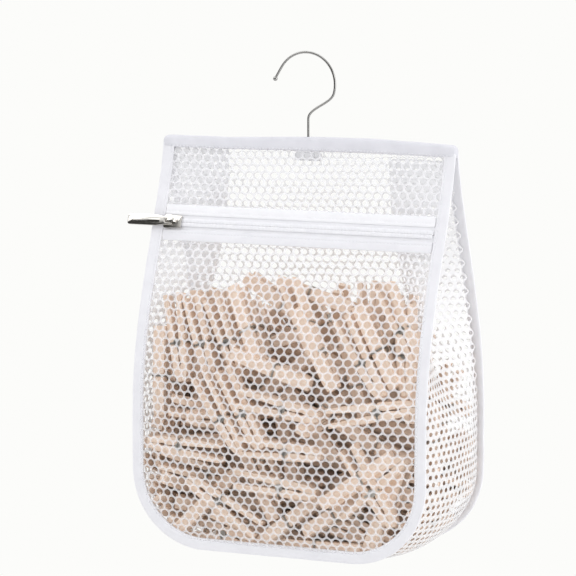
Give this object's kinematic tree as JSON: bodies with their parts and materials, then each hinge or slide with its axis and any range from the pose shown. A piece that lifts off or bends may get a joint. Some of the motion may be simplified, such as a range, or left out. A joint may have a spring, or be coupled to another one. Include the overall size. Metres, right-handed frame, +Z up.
{
  "type": "peg bag",
  "caption": "Hanging net bag for clothes pegs: swivelling wire hook, barred top hem, bound gusseted net body and a front zip with a slider and puller.",
  "frame": {"origin": "where the crown of the hook rests on a rail, on the axis that the bag swivels about", "axes": "+Z up along the hook stem, +X along the top hem to the right, the zip side faces -Y"},
  "size_m": [0.2842, 0.1443, 0.4046],
  "materials": {
    "hook_steel": "bright drawn steel wire, plated",
    "bar_plastic": "moulded white plastic",
    "hem_cloth": "white net cloth, doubled and stitched",
    "net_cloth": "white honeycomb net",
    "binding_tape": "white folded polyester tape",
    "zip_tape": "white woven zip tape",
    "zip_coil": "white nylon coil",
    "slider_metal": "nickel plated zinc",
    "puller_metal": "nickel plated zinc",
    "peg_wood": "sanded bare beech with a steel spring"
  },
  "bodies": {
    "hook": {"hook_wire": "hook_steel"},
    "bag": {"top_hem": "hem_cloth", "hanger_bar": "bar_plastic", "front_binding": "binding_tape", "back_binding": "binding_tape", "side_gusset": "net_cloth", "front_panel_upper": "net_cloth", "front_panel_lower": "net_cloth", "back_panel": "net_cloth", "zip_tape_upper": "zip_tape", "zip_tape_lower": "zip_tape", "zip_coil_upper": "zip_coil", "zip_coil_lower": "zip_coil", "peg_01": "peg_wood", "peg_02": "peg_wood", "peg_03": "peg_wood", "peg_04": "peg_wood", "peg_05": "peg_wood", "peg_06": "peg_wood", "peg_07": "peg_wood", "peg_08": "peg_wood", "peg_09": "peg_wood", "peg_10": "peg_wood", "peg_11": "peg_wood", "peg_12": "peg_wood", "peg_13": "peg_wood", "peg_14": "peg_wood", "peg_15": "peg_wood", "peg_16": "peg_wood", "peg_17": "peg_wood"},
    "slider": {"slider_body": "slider_metal"},
    "puller": {"puller": "puller_metal"}
  },
  "joints": [
    {"name": "hook_swivel", "type": "hinge", "parent": "hook", "child": "bag", "pos_m": [0, 0, -0.082], "axis": [0, 0, 1], "continuous": true},
    {"name": "zip_slide", "type": "slide", "parent": "bag", "child": "slider", "axis": [1, 0, 0], "range_m": [0, 0.222]},
    {"name": "puller_pivot", "type": "hinge", "parent": "slider", "child": "puller", "pos_m": [-0.1111, -0.0253, -0.13699], "axis": [0, 0.3463, 0.9381], "range_deg": [0, 175]}
  ]
}
